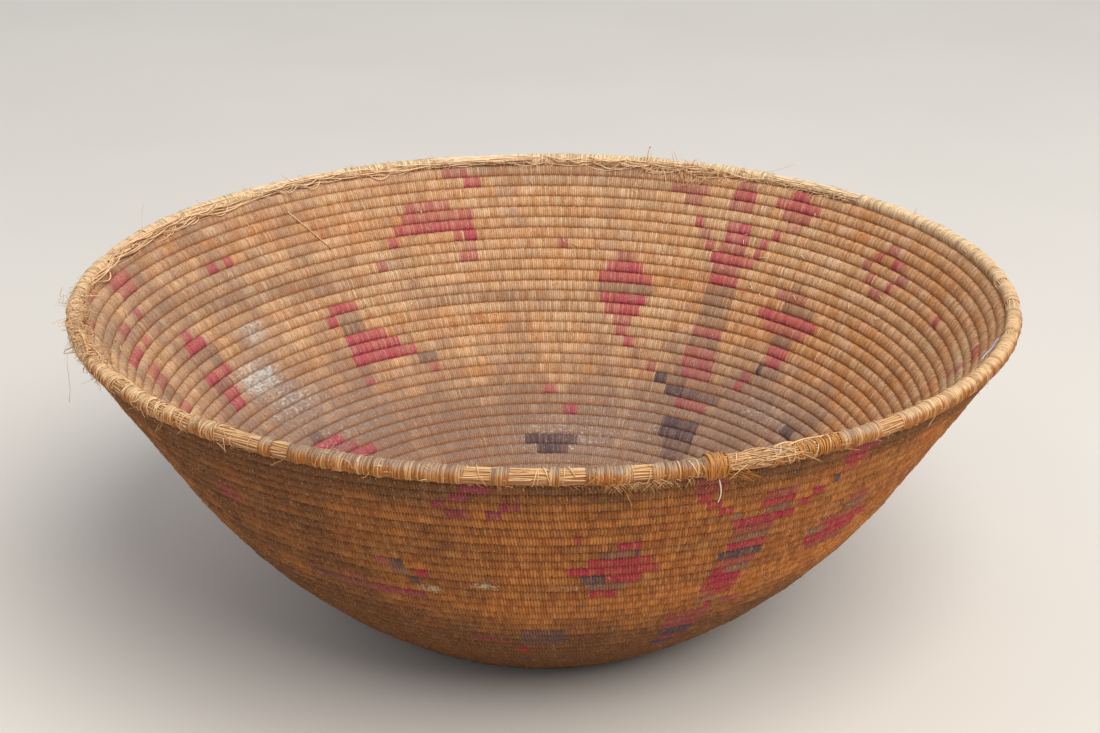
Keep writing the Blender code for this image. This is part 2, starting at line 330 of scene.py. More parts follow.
# Each dye as weights of crimson, blue-black and grey-brown: red when fresh, faded, pale, dull and worn
# dull, two maroons, dark and faded dark, and grey.
DYES = {
    "R": (1, 0, 0), "P": (0.64, 0.06, 0.12), "p": (0.32, 0.06, 0.12), "D": (0.52, 0.1, 0.45),
    "d": (0.3, 0.05, 0.35), "M": (0.62, 0.72, 0.15), "m": (0.2, 0.5, 0.2), "K": (0.05, 1, 0.1),
    "k": (0.03, 0.58, 0.2), "G": (0, 0.15, 0.75),
}


def bell(value, middle, reach):
    """1 at the middle, falling smoothly to 0 at the reach on both sides."""
    return 1 - eased(np.abs(value - middle) / reach)


turn_steps = np.arange(FIRST_TURN, COURSES + 1, 1 / TURN_STEPS)
step_width = np.minimum(inner_edge(turn_steps + 1), OUTLINE_LENGTH) - inner_edge(turn_steps)
last_step = np.flatnonzero(step_width >= TIP_WIDTH)[-1]
turn_steps = turn_steps[:last_step + 1]
middle_radius = outline(np.maximum(inner_edge(turn_steps) + COURSE_PITCH / 2, LEAST_RADIUS))[0]
step_run = math.tau * np.diff(turn_steps) * (middle_radius[1:] + middle_radius[:-1]) / 2
coil_run = np.concatenate(((0,), np.cumsum(step_run)))
strand_count = int(coil_run[-1] / STRAND_PITCH) - 1
coil_rings = 2 * strand_count
coil_random = np.random.default_rng(5)
ring_number = np.arange(coil_rings)
ring_place = ring_number / 2 + coil_random.uniform(-0.08, 0.08, coil_rings)
lead = np.array(SECTION_LEAD) + coil_random.normal(0, 0.05, (coil_rings, SECTION_POINTS))
point_turns = np.interp((ring_place[:, None] + lead) * STRAND_PITCH, coil_run, turn_steps)
low_edge = np.maximum(inner_edge(point_turns), 0)
high_edge = inner_edge(point_turns + 1)
course_width = high_edge - low_edge
half_width = course_width / 2 + COURSE_LAP
fullness = np.clip(course_width / COURSE_PITCH, 0, 1) ** 0.6
half_thickness = COURSE_HALF_THICKNESS * fullness * (1 + 0.05 * drift(point_turns, 12, 0.31))
section = np.radians(SECTION_DEGREES)
power = 2 / np.array(SQUARENESS)
wide = np.sign(np.cos(section)) * np.abs(np.cos(section)) ** power
deep = np.sign(np.sin(section)) * np.abs(np.sin(section)) ** power
ridge = np.repeat(coil_random.uniform(0.35, 1.6, strand_count), 2) * np.where(ring_number % 2 == 1, 1, -1)
proud = np.repeat(coil_random.normal(0, STRAND_UNEVENNESS, strand_count), 2)
relief = (STRAND_RELIEF * ridge + proud)[:, None] * np.array(RELIEF_SHARES)
relief = relief + coil_random.normal(0, FIBRE_UNEVENNESS, lead.shape)
along = half_width * wide + relief * np.cos(section)
across = half_thickness * deep + relief * np.sin(section)
radius, height, slope = outline((low_edge + high_edge) / 2)
point_radius = np.maximum(radius + along * np.cos(slope) - across * np.sin(slope), CENTRE_RADIUS)
point_height = np.maximum(height + along * np.sin(slope) + across * np.cos(slope), 0)
point_angle = math.tau * point_turns
coil_points = np.stack((point_radius * np.cos(point_angle), point_radius * np.sin(point_angle),
                        point_height), axis=-1)

# What each strand of the coil is: its course, its place, its dyes, its weathering and, outside,
# its painted shade
strand_turns = point_turns[1::2, 2]
strand_degrees = (strand_turns * 360) % 360
passed = strand_turns - CLIMB_START
strand_course = COURSES - np.floor(passed) - (passed % 1 >= CLIMB_LENGTH)
strand_dyes = np.zeros((strand_count, 3))
for course, steps in MOTIFS.items():
    for step in steps.split(","):
        start, end, dye = step.split()
        in_step = (strand_degrees - float(start)) % 360 < float(end) - float(start)
        strand_dyes[in_step & (strand_course == course)] = DYES[dye]
# The strands of one step take the dye unevenly
strand_dyes *= np.random.default_rng(21).uniform(0.55, 1.08, strand_count)[:, None]
patches = drift(strand_turns, 31, 0.05)
broad = drift(strand_degrees * math.tau / 360 * 2 + strand_course * 0.35, 32, 5.3)
row_tone = coil_random.uniform(-1, 1, COURSES + 3)[strand_course.astype(int)]
right_side = bell((strand_degrees + 180) % 360, 190, 70)


def soft_areas(*rows):
    """The sum of soft areas: of weathering and tone, and outside also of painted shade. Each has its middle
    course and reach in courses, its middle and reach in degrees around the basket, and its most. An endless
    reach is everywhere."""
    return sum(most * bell(strand_course, course, courses) * bell(strand_degrees, middle, reach)
               for course, courses, middle, reach, most in rows)


# Pale crust inside: most in the grooves at the left and, lower down, at the right
residue = soft_areas(
    (15.0, 2.6, 154.5, 11, 1.2), (18, 3.2, 150, 15, 0.62), (11.5, 2.2, 149.5, 7, 0.9),
    (20.5, 3.5, 36, 20, 0.52), (25, 6, 66, 40, 0.4), (22, 6, 142, 34, 0.46), (27, 4, 88, 22, 0.45),
    (34, 9, 90, 90, 0.3), (34, 9, 270, 90, 0.3),
) * (1 - 0.75 * strand_dyes[:, 1])
# Grey dust inside: on the floor of the bowl, up the left side and low on the right
grey = 0.16 + 0.26 * patches - 0.35 * right_side + 0.74 * np.clip((strand_course - 14) / 12, 0, 1)
grey += soft_areas((1, 14, 165, 60, 0.42), (16, 14, 165, 55, 0.4), (20, 9, 38, 42, 0.78),
                   (20, 8, 150, 40, 0.28))
warm = 0.48 + 0.3 * broad + 0.2 * row_tone + 0.5 * right_side - 1.1 * np.clip((strand_course - 20) / 6, 0, 1)
wear_inside = np.clip(np.stack((residue, grey, warm), axis=-1), 0, 1)
# Pale crust outside, in a few small spots on the near side
crust = soft_areas(
    (14, 1.2, 254.3, 2.8, 1.3), (13, 1.2, 262, 4.5, 1.0), (13, 1.1, 273, 6, 0.8), (24, 0.9, 271, 5, 0.5),
    (20.5, 1.8, 281.5, 4.5, 0.62), (16.5, 1.6, 286, 4, 0.3), (9, 3, 245, 12, 0.25), (20, 3, 290, 12, 0.3),
    (22, 3, 258, 10, 0.3))
# Painted shade outside, in brown: the rim's shadow on the courses under it, and the shade of the left
# side, which faces away from the light. The wall is also darker towards the base, in two low bands,
# and in brown patches.
shade = 0.12 + 0.22 * patches - 0.12 * row_tone + 0.95 * np.clip((strand_course - 22) / 5, 0, 1)
shade += soft_areas((0.5, 4.4, 0, math.inf, 0.75), (21, 5, 0, math.inf, 0.7), (25, 6, 0, math.inf, 0.3),
                    (0, math.inf, 226, 49, 0.76))
# Golden orange outside, with a bright patch on the near side; less on the top courses, as part of the rim's
# painted shadow
golden = 0.52 + 0.3 * broad + 0.3 * row_tone
golden += soft_areas((1, 4, 0, math.inf, -0.3), (17.5, 4, 262, 12, 0.8))
wear_and_shade_outside = np.clip(np.stack((crust, shade, golden), axis=-1), 0, 1)

# Sewn grass: dull dry strand, with a dark gap between strands. Bleached and dusty inside, where light and use
# reach it; tanned orange-brown outside. Each length of strand keeps its own tone for about 13 turns. The
# real fibres are too fine to show: five are drawn across a strand, 0.36 mm each, and seven round it.
SEWN_FIBRES = (5, 7, 1)
STRANDS_PER_LENGTH = 13
# How many to a metre: blotches of about 18 mm, rust of 7 mm, crust of 4 mm and specks of 1.2 mm
BLOTCHES = 55
RUST = 150
CRUST = 260
SPECKS = 800
CRUST_FLATNESS = 2.6
FINE_RELIEF = 0.0003


def strand_marks(tree, gap_share, fibre_counts):
    """What follows the strand map, whose values are the strand and the way round: the way round, the
    strand's number and own tone, the gap at its edges, its fibres, and the height, fibres less gap."""
    strand_map = add(tree, "UVMap", uv_map="strand")
    strand, around = add(tree, "SeparateXYZ", {0: strand_map}).node.outputs[:2]
    number = add(tree, "Math", {0: strand}, operation="FLOOR")
    from_edge = add(tree, "Math", {0: strand, 1: 0.5}, operation="PINGPONG")
    gap = add(tree, "MapRange", {0: from_edge, 1: gap_share, 2: 0}, interpolation_type="SMOOTHSTEP")
    tone = add(tree, "TexWhiteNoise", {"W": number}, noise_dimensions="1D")
    fibre_place = add(tree, "VectorMath", {0: strand_map, 1: fibre_counts}, operation="MULTIPLY")
    fibres = add(tree, "TexNoise", {"Vector": fibre_place, "Scale": 1, "Detail": 2}, noise_dimensions="2D")
    height = add(tree, "Math", {0: fibres, 1: gap}, operation="SUBTRACT")
    return around, number, tone, gap, fibres, height


def lay_colours(tree, shader, colour, layers, height, strength, depth):
    """Lays colours one over another, and gives the shader the result and the fine relief of a height. Each
    layer has what shows, where it starts and is full, how much of it, its colour, and where alone it is."""
    for shown, start, full, most, written, *where in layers:
        amount = add(tree, "MapRange", {0: shown, 1: start, 2: full, 3: 0, 4: most})
        for share in where:
            amount = add(tree, "Math", {0: amount, 1: share}, operation="MULTIPLY")
        colour = add(tree, "Mix", {FACTOR: amount, COLOUR_A: colour, COLOUR_B: linear(written)}, MIXED,
                     data_type="RGBA")
    tree.links.new(colour, shader.inputs["Base Color"])
    relief = add(tree, "Bump", {"Height": height, "Strength": strength, "Distance": depth})
    tree.links.new(relief, shader.inputs["Normal"])


# The way round a course is inside below a half, outside above it, and a half at the top
sewn_grass, tree, shader = surface("sewn_dry_grass", 0.72, 0.3)
around, number, tone, gap, fibres, height = strand_marks(tree, 0.2, SEWN_FIBRES)
dye, wear_and_shade = (add(tree, "SeparateXYZ", {0: add(tree, "Attribute", give="Vector", attribute_name=word)})
             .node.outputs for word in ("dye", "wear_and_shade"))
length = add(tree, "Math", {0: number, 1: STRANDS_PER_LENGTH}, operation="DIVIDE")
length_tone = add(tree, "TexNoise", {"W": length, "Scale": 1, "Detail": 2}, noise_dimensions="1D")
outside = add(tree, "Math", {0: around, 1: 0.5}, operation="GREATER_THAN")
inside = add(tree, "Math", {0: 1.0, 1: outside}, operation="SUBTRACT")
from_foot = add(tree, "Math", {0: around, 1: 0.5}, operation="PINGPONG")
low_side = add(tree, "MapRange", {0: from_foot, 1: 0.28, 2: 0.1}, interpolation_type="SMOOTHSTEP")
from_seam = add(tree, "Math", {0: around, 1: 0.25}, operation="PINGPONG")
groove = add(tree, "MapRange", {0: from_seam, 1: 0.12, 2: 0.02, 3: 0.45, 4: 1.2},
             interpolation_type="SMOOTHSTEP")
solid = add(tree, "TexCoord", give="Object")
flat = add(tree, "VectorMath", {0: solid, 1: (1, 1, CRUST_FLATNESS)}, operation="MULTIPLY")
blotch, rusty, speck, fleck = (
    add(tree, "TexNoise", {"Vector": place, "Scale": count, "Detail": detail, "Roughness": roughness})
    for place, count, detail, roughness in (
        (solid, BLOTCHES, 3, 0.5), (solid, RUST, 3, 0.5), (solid, SPECKS, 1, 0.5), (flat, CRUST, 6, 0.75)))
held = add(tree, "Math", {0: wear_and_shade[0], 1: groove}, operation="MULTIPLY")
crusted = add(tree, "Math", {0: held, 1: 0.5, 2: fleck}, operation="MULTIPLY_ADD")
# Painted shade, partly real: the lower side of each course lies out of the light from above and has faded
# less, so it is painted deeper orange, and the red dye is stronger and darker there
low_dye = add(tree, "MapRange", {0: low_side, 3: 0.82})
red_low = add(tree, "Math", {0: dye[0], 1: low_side}, operation="MULTIPLY")
layers = (
    (outside, 0, 1, 1, "#B0662C"),
    (wear_and_shade[2], 0.3, 1, 0.8, "#D68C4E", inside),
    (wear_and_shade[2], 0.3, 0, 0.65, "#805C4C", inside),
    (wear_and_shade[2], 0.3, 1, 0.85, "#D07C32", outside),
    (length_tone, 0.45, 0.7, 0.45, "#BC946A", inside),
    (length_tone, 0.45, 0.7, 0.35, "#8A5026", outside),
    (blotch, 0.5, 0.75, 0.5, "#EED2B0", inside),
    (blotch, 0.5, 0.75, 0.45, "#C88E50", outside),
    (rusty, 0.5, 0.7, 0.5, "#C07844", inside),
    (rusty, 0.5, 0.7, 0.55, "#84401A", outside),
    (tone, 0.5, 1, 0.3, "#F6E0C4", inside),
    (tone, 0.5, 1, 0.36, "#DA9850", outside),
    (tone, 0.45, 0, 0.4, "#9A6A3C", inside),
    (tone, 0.45, 0, 0.34, "#6A3A16", outside),
    (wear_and_shade[1], 0.15, 1, 0.85, "#95796C", inside),
    # Painted shade outside, in brown: the rim's shadow, the shaded left side and the darker base
    (wear_and_shade[1], 0.1, 1, 0.75, "#56361C", outside),
    # Painted shade, partly real: the lower side of each course inside, in deeper orange
    (low_side, 0, 1, 0.4, "#CC8446", inside),
    # Painted light: the grooves between the courses inside are painted pale, to offset their shade
    (groove, 0.6, 1.2, 0.75, "#E8B688", inside),
    (wear_and_shade[0], 0.1, 0.9, 0.3, "#B4A8A0", inside),
    # Painted shade: the grooves between the courses outside are painted dark brown
    (from_seam, 0.08, 0.01, 0.6, "#4A280E", outside),
    (dye[2], 0, 1, 0.75, "#866A5C"),
    (dye[1], 0, 1, 0.92, "#3C4250"),
    (dye[0], 0, 1, 0.97, "#BE325C", inside, low_dye),
    (dye[0], 0, 1, 0.97, "#AE2440", outside),
    # Painted shade, partly real: darker red on the lower side of each course
    (red_low, 0, 1, 0.45, "#9A2A4C"),
    (speck, 0.56, 0.72, 0.6, "#74502E", inside),
    (speck, 0.4, 0.28, 0.3, "#E0C49C"),
    (fibres, 0.5, 0.25, 0.4, "#70492A"),
    (gap, 0, 1, 0.55, "#5E3820", inside),
    (gap, 0, 1, 0.5, "#3A1C0A", outside),
    (crusted, 0.66, 0.76, 0.9, "#CCCCC8", inside),
    (crusted, 0.68, 0.80, 0.8, "#CDBE9E", outside),
)
lay_colours(tree, shader, linear("#E4B88A"), layers, height, 0.9, FINE_RELIEF)


def coil_piece(name, first, last):
    """One length of the coil, from one ring to another. Neighbours share the ring where they meet. The
    coil's points run the other way round than a wrap's, so its faces are turned over."""
    groups, ring, side = wound_faces(last - first + 1, SECTION_POINTS, 2, first)
    groups = [(faces[:, ::-1], places[:, ::-1]) for faces, places in groups]
    strand = np.minimum((ring + first) // 2, strand_count - 1)
    ends = np.array(((first // 2,), (min(last // 2, strand_count) - 1,)))
    wear_and_shade = np.where((side < SECTION_POINTS // 2)[:, None], wear_inside[strand], wear_and_shade_outside[strand])
    values = {
        "dye": [strand_dyes[strand], strand_dyes[ends[0]], strand_dyes[ends[1]]],
        "wear_and_shade": [wear_and_shade, wear_inside[ends[0]], wear_inside[ends[1]]],
    }
    return make_mesh(name, coil_points[first:last + 1], groups, sewn_grass, values)


def ring_at(turns):
    """The even ring nearest a number of turns."""
    return int(np.searchsorted(point_turns[:, 0], turns)) // 2 * 2


# The coil is one length on the real basket. Here it is the base and three parts of the wall, each with the
# turn where it ends, the number of pieces that it is shared out over, and the solids that it stands for.
COIL_LENGTHS = (
    ("base_courses", 12.6, 1, ("centre_knot", "base_coil")),
    ("lower_wall_courses", 24.1, 2, ("lower_wall_coil",)),
    ("middle_wall_courses", 35.3, 3, ("middle_wall_coil",)),
    ("upper_wall_courses", 99.0, 3, ("upper_wall_coil",)),
)
start = 0
for name, end_turn, shares, nodes in COIL_LENGTHS:
    end = min(ring_at(end_turn), coil_rings - 2)
    bounds = np.linspace(start, end, shares + 1).astype(int) // 2 * 2
    for number in range(shares):
        share_name = f"{name}_{number + 1}" if shares > 1 else name
        courses = coil_piece(share_name, bounds[number], bounds[number + 1])
        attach(courses, "root")
        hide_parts(*nodes)
    start = end


# The rim bundle: split stalks laid side by side along the top course, a little thicker than a course, with
# cut and broken ends here and there. Its two ends meet under the tie.
RIM_RADIUS = 0.3197
RIM_HEIGHT = 0.2405
BUNDLE_LANES = 29
BUNDLE_REACH = 0.0043
STALK_HALF_WIDTH = 0.00052
STALK_UNEVENNESS = 0.00022
STALK_END_SINK = 0.0004
STALK_SIDES = 5
STALK_STEPS = 124
CORE_SIDES = 14
CORE_STEPS = 500
TIE_MIDDLE = 287.25
STALK_LENGTHS = (45, 140)
SHORTEST_STALK = 25
END_TAPER_DEGREES = 1.4
UPRIGHT = np.array((0.0, 0.0, 1.0))


def rim_place(degrees, reach, turned):
    """A point by the rim: its place around the basket, its distance from the rim's middle line, and its
    turn round that line, where 0 points up and away along the wall and 90 degrees to the bowl's inside."""
    around = np.radians(degrees)
    out = reach * np.cos(turned)
    inward = reach * np.sin(turned)
    radius = RIM_RADIUS + out * math.cos(RIM_ANGLE) - inward * math.sin(RIM_ANGLE)
    height = RIM_HEIGHT + out * math.sin(RIM_ANGLE) + inward * math.cos(RIM_ANGLE)
    return np.stack((radius * np.cos(around), radius * np.sin(around), height + 0 * around), axis=-1)


def bars(paths, widths, sides, across, flatness=1.0):
    """Many strands at once. Every point of a path carries a ring: the path's direction crossed with a
    steady side direction gives the ring's two axes. Ends are closed. The map place is the length in
    millimetres and the share of the way round."""
    count, steps = paths.shape[:2]
    ahead = np.gradient(paths, axis=1)
    ahead /= np.linalg.norm(ahead, axis=2, keepdims=True)
    first = np.cross(ahead, across)
    first /= np.linalg.norm(first, axis=2, keepdims=True)
    second = np.cross(ahead, first)
    turned = math.tau * np.arange(sides) / sides
    ring = (first[:, :, None] * np.cos(turned)[:, None]
            + flatness * second[:, :, None] * np.sin(turned)[:, None])
    points = paths[:, :, None] + ring * widths[:, :, None, None]
    strand, step, side = np.indices((count, steps - 1, sides))
    beside = (side + 1) % sides
    base = (strand * steps + step) * sides
    quads = np.stack((base + side, base + beside, base + sides + beside, base + sides + side), axis=-1)
    step_lengths = np.linalg.norm(np.diff(paths, axis=1), axis=2)
    run = np.concatenate((np.zeros((count, 1)), step_lengths.cumsum(1)), 1)
    run = run * 1000 + 37.0 * np.arange(count)[:, None]
    here, there = run[strand, step], run[strand, step + 1]
    quad_map = np.stack((np.stack((here, here, there, there), -1),
                         np.stack((side, side + 1, side + 1, side), -1) / sides), -1)
    ends = np.arange(count)[:, None] * steps * sides + np.arange(sides)
    no_place = np.zeros((count, sides, 2))
    groups = [(quads.reshape(-1, 4), quad_map.reshape(-1, 4, 2)), (ends[:, ::-1], no_place),
              (ends + (steps - 1) * sides, no_place)]
    owners = [strand.reshape(-1), np.arange(count), np.arange(count)]
    return points, groups, owners


# Straw in all its forms is streaked along its length; each stalk or fibre has its own tone. What faces up
# is painted paler and what faces down or sideways golden brown: partly straw that light and hands have
# bleached on top, partly painted light and shade, with warm bounced light painted into the shaded sides.
# At the back, straw that faces up is painted paler still, as painted light on the far rim. Streaks are 14
# mm long, and there are 90 stains to a metre, each about 11 mm.
STREAK_LENGTH = 14.0
STREAKS_AROUND = 9.0
STRAW_STAINS = 90
PAINTED_LIGHT_PALE = "#FCE4BC"


def straw_material(name, pale, mid, dark, below, roughness):
    """Straw: tones go by stalk, streaks by the map place along and around it, stains by place."""
    material, tree, shader = surface(name, roughness, 0.35)
    tone = add(tree, "Attribute", give="Fac", attribute_name="tone")
    drawn = add(tree, "VectorMath", {0: add(tree, "UVMap", uv_map="strand"),
                                     1: (1 / STREAK_LENGTH, STREAKS_AROUND, 1)}, operation="MULTIPLY")
    streaks = add(tree, "TexNoise", {"Vector": drawn, "Scale": 1, "Detail": 3}, noise_dimensions="2D")
    solid = add(tree, "TexCoord", give="Object")
    stain = add(tree, "TexNoise", {"Vector": solid, "Scale": STRAW_STAINS, "Detail": 4})
    facing = add(tree, "SeparateXYZ", {0: add(tree, "TexCoord", give="Normal")}, 2)
    back = add(tree, "SeparateXYZ", {0: solid}, 1)
    upward = add(tree, "MapRange", {0: facing, 1: 0.05, 2: 0.5, 3: 0.1})
    layers = (
        (tone, 0, 1, 1, pale),
        (stain, 0.5, 0.75, 0.8, mid),
        (tone, 0.3, 0, 0.6, dark),
        # Painted light and shade, partly real: paler where the straw faces up, golden brown where it faces
        # down
        (facing, 0.5, 1, 0.6, pale),
        (facing, 0.85, 0.05, 0.85, below),
        # Painted light: paler at the back, where the straw faces up
        (back, -0.15, 0.2, 0.9, PAINTED_LIGHT_PALE, upward),
        (streaks, 0.5, 0.25, 0.6, dark),
        (streaks, 0.6, 0.8, 0.6, pale),
    )
    lay_colours(tree, shader, linear(mid), layers, streaks, 0.6, FINE_RELIEF)
    return material


def straw_piece(name, paths, widths, sides, across, tone, material, flatness, node):
    """A piece of many strands, each with its own tone, that stands for or beside a rim node."""
    points, groups, owners = bars(paths, widths, sides, across, flatness)
    piece = make_mesh(name, points, groups, material, {"tone": [tone[owner] for owner in owners]})
    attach(piece, "root")
    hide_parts(node)


random = np.random.default_rng(41)
stalks = []
for lane in range(BUNDLE_LANES):
    cut = TIE_MIDDLE + 0.3
    last = TIE_MIDDLE + 359.7
    while cut < last:
        end = cut + random.uniform(*STALK_LENGTHS)
        end = last if last - end < SHORTEST_STALK else end
        stalks.append((lane, cut, end))
        cut = end - 1.0 if end < last else last
lanes, starts, ends = np.array(stalks).T
count = len(stalks)
part = np.linspace(0, 1, STALK_STEPS)
degrees = starts[:, None] + (ends - starts)[:, None] * part
end_near = np.minimum(part, 1 - part) * (ends - starts)[:, None]
end_fade = np.clip(end_near / END_TAPER_DEGREES, 0, 1)
lane_wander = np.stack([drift(degrees[n], 50 + int(lanes[n]), 31) for n in range(count)])
lane_rise = np.stack([drift(degrees[n], 150 + n, 17) for n in range(count)])
turned = math.tau * lanes[:, None] / BUNDLE_LANES + 0.2 * lane_wander + 0.007 * degrees
reach = BUNDLE_REACH + STALK_UNEVENNESS * lane_rise - STALK_END_SINK * (1 - end_fade)
paths = rim_place(degrees, reach, turned)
widths = STALK_HALF_WIDTH * random.uniform(0.6, 1.3, (count, 1)) * (1 + 0.1 * lane_rise)
widths *= 0.5 + 0.5 * end_fade
side = paths - rim_place(degrees, 0, 0)
tone = random.uniform(0, 1, count)
split_straw = straw_material("split_straw", "#E9C899", "#C4905A", "#84502A", "#96592A", 0.55)
straw_piece("rim_stalks", paths, widths, STALK_SIDES, side, tone, split_straw, 0.85, "rim_bundle")

core_path = rim_place(np.linspace(TIE_MIDDLE + 0.2, TIE_MIDDLE + 359.8, CORE_STEPS)[None], 0, 0)
shaded_straw = straw_material("shaded_straw", "#C8995E", "#A87844", "#684420", "#8A5426", 0.7)
straw_piece("rim_core", core_path, np.full((1, CORE_STEPS), BUNDLE_REACH), CORE_SIDES, UPRIGHT,
            np.array((0.5,)), shaded_straw, 1.0, "rim_bundle")


# The rim wraps and lashings: thin grass strand wound tightly round the bundle, turn against turn, grey and
# worn on top and golden below, each stretch ending with its strand tucked under the last turns.
WRAP_SPANS = (
    (54.8, 66.2), (71.8, 92.0), (107.5, 121.0), (137.0, 160.0), (172.0, 186.0), (208.0, 215.5),
    (218.0, 223.5), (230.0, 234.0), (243.5, 262.2), (264.8, 266.8), (274.2, 278.8), (280.8, 286.0),
    (302.0, 307.5), (310.5, 340.0), (342.0, 349.5), (352.5, 358.5), (360.5, 399.0),
)
LASHING_SPANS = ((226.0, 228.0), (240.0, 241.5), (270.5, 271.7), (293.5, 295.0))
TIE_SPAN = (286.0, 288.5)
TIE_SWELL = 0.0021
WRAP_PITCH = 0.0013
WRAP_REACH = 0.0051
WRAP_RELIEF = 0.00036
WRAP_UNEVENNESS = 0.00014
WRAP_LUMPS = 0.00028
WRAP_SIDES = 16
RINGS_PER_TURN = 3
TUCK = 0.0005
# Fibres across a strand and round the bundle, and stains to a metre, each about 8 mm
WOUND_FIBRES = (4, 6, 1)
WRAP_STAINS = 130
WRAP_FINE_RELIEF = 0.0002
WOUND_PALE = "#E0BC88"
WOUND_DARK = "#66401F"


def wrap_points(span, seed, swell=0.0):
    """Strand wound round the rim bundle: rings along the rim whose reach rises and falls once a turn of
    strand, varies from turn to turn and round the bundle, and drops at both ends. Each turn starts on the
    side that lies on the wall and passes smoothly into the next."""
    random = np.random.default_rng(seed)
    run = math.radians(span[1] - span[0]) * RIM_RADIUS
    turns = max(3, round(run / WRAP_PITCH))
    rings = turns * RINGS_PER_TURN + 1
    ring = np.arange(rings)
    way = np.arange(WRAP_SIDES) / WRAP_SIDES
    turned = math.pi + math.tau * way
    wander = drift(ring * WRAP_PITCH / RINGS_PER_TURN * 1000, seed + 2, 14)
    lean = 0.8 * wander[:, None] * np.sin(math.pi * way)
    travel = ring[:, None] + RINGS_PER_TURN * (way - 0.5 + lean)
    travel = travel + random.normal(0, 0.18, travel.shape)
    travel = np.clip(travel, 0, rings - 1) / (rings - 1)
    turn = ring[:, None] // RINGS_PER_TURN
    proud = random.normal(0, WRAP_UNEVENNESS, turns + 2)
    proud = proud[turn] * (1 - way) + proud[turn + 1] * way
    crest = np.where(ring % RINGS_PER_TURN == 0, 0.0, 1.0)[:, None]
    height = random.uniform(0.3, 1.5, turns + 2)
    height = height[turn] * (1 - way) + height[turn + 1] * way
    lumps = WRAP_LUMPS * drift(travel * run * 1000 + 4 * np.sin(turned), seed + 1, 13)
    ends = np.clip(np.minimum(ring, rings - 1 - ring) / 2, 0, 1)[:, None]
    reach = WRAP_REACH - TUCK * (1 - ends) + WRAP_RELIEF * crest * height + proud + lumps
    reach = reach + swell * np.sin(math.pi * travel)
    return rim_place(span[0] + (span[1] - span[0]) * travel, reach, turned), turns


# Wound strand: worn where it faces up, grey on the near side, and golden below, paler towards the back, with
# a tone for each turn, a dark gap between turns, and fibres, drawn coarser than the real ones, so they show.
wound_strand, tree, shader = surface("wound_grass_strand", 0.65, 0.3)
tone, gap, fibres, height = strand_marks(tree, 0.14, WOUND_FIBRES)[2:]
facing = add(tree, "SeparateXYZ", {0: add(tree, "TexCoord", give="Normal")}, 2)
solid = add(tree, "TexCoord", give="Object")
back = add(tree, "SeparateXYZ", {0: solid}, 1)
stain = add(tree, "TexNoise", {"Vector": solid, "Scale": WRAP_STAINS, "Detail": 3})
worn = add(tree, "Math", {0: facing, 1: stain}, operation="ADD")
top = add(tree, "MapRange", {0: worn, 1: 0.6, 2: 1.35, 3: 0, 4: 0.85}, interpolation_type="SMOOTHSTEP")
layers = (
    (back, -0.22, -0.28, 1, "#A08C7A"),
    (top, 1, 0, 1, "#A4601E"),
    (back, -0.12, 0.15, 0.85, "#F8DEB4"),
    (tone, 0.6, 1, 0.4, WOUND_PALE),
    (tone, 0.45, 0, 0.5, WOUND_DARK),
    (fibres, 0.5, 0.25, 0.5, WOUND_DARK),
    (fibres, 0.6, 0.8, 0.5, WOUND_PALE),
    (gap, 0, 1, 0.75, "#442810"),
)
lay_colours(tree, shader, linear("#F0CA9C"), layers, height, 0.8, WRAP_FINE_RELIEF)

wrap_nodes = [(f"rim_wrap_{number:02d}", span) for number, span in enumerate(WRAP_SPANS, 1)]
wrap_nodes += [(f"rim_lashing_{number:02d}", span) for number, span in enumerate(LASHING_SPANS, 1)]
wrap_nodes.append(("rim_tie", TIE_SPAN))
turns_before = 0
for number, (node, span) in enumerate(wrap_nodes):
    points, turns = wrap_points(span, 300 + number, TIE_SWELL if node == "rim_tie" else 0.0)
    groups = wound_faces(len(points), WRAP_SIDES, RINGS_PER_TURN, turns_before * RINGS_PER_TURN)[0]
    turns_before += turns + 2
    winding = make_mesh(f"{node}_strand", points, groups, wound_strand)
    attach(winding, "root")
    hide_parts(node)


# Loose turns: single strands that cross the wraps and the bare bundle at a slant, where the binding has
# worn and slipped. At the left corner and right of the tie a worn wrap is left of them. Ends are tucked in.
LOOSE_TURNS = 420
LOOSE_STEPS = 14
LOOSE_REACH = 0.0053
LOOSE_LIFT = 0.0006
LOOSE_HALF_WIDTH = 0.00034
LOOSE_AT_LEFT = 170
WORN_TURNS = 34
# From and to (degrees) and the turn round the rim where the strands start
WORN_WRAPS = ((187.0, 193.5, -0.8), (296.4, 301.8, -2.0))
WORN_WRAP_TURNS = WORN_TURNS * len(WORN_WRAPS)

random = np.random.default_rng(77)
start = random.uniform(0, 360, LOOSE_TURNS)
start[:LOOSE_AT_LEFT] = random.uniform(176, 235, LOOSE_AT_LEFT)
worn_starts, worn_ends, worn_from = np.array(WORN_WRAPS).T
start[-WORN_WRAP_TURNS:] = np.linspace(worn_starts, worn_ends, WORN_TURNS).T.ravel()
slant = random.choice((-1, 1), LOOSE_TURNS) * random.uniform(0.2, 1.5, LOOSE_TURNS)
slant[-WORN_WRAP_TURNS:] *= 0.3
begin = random.uniform(0, math.tau, LOOSE_TURNS)
begin[-WORN_WRAP_TURNS:] = np.repeat(worn_from, WORN_TURNS) + random.uniform(-0.4, 0.4, WORN_WRAP_TURNS)
way_round = random.uniform(2.2, 4.8, LOOSE_TURNS)
part = np.linspace(0, 1, LOOSE_STEPS)
arch = np.sin(math.pi * part)
lift = random.uniform(0, LOOSE_LIFT, LOOSE_TURNS)[:, None] * arch
sink = LOOSE_LIFT * np.clip(1 - arch * 3, 0, 1)
degrees = start[:, None] + slant[:, None] * part
turned = begin[:, None] + way_round[:, None] * part
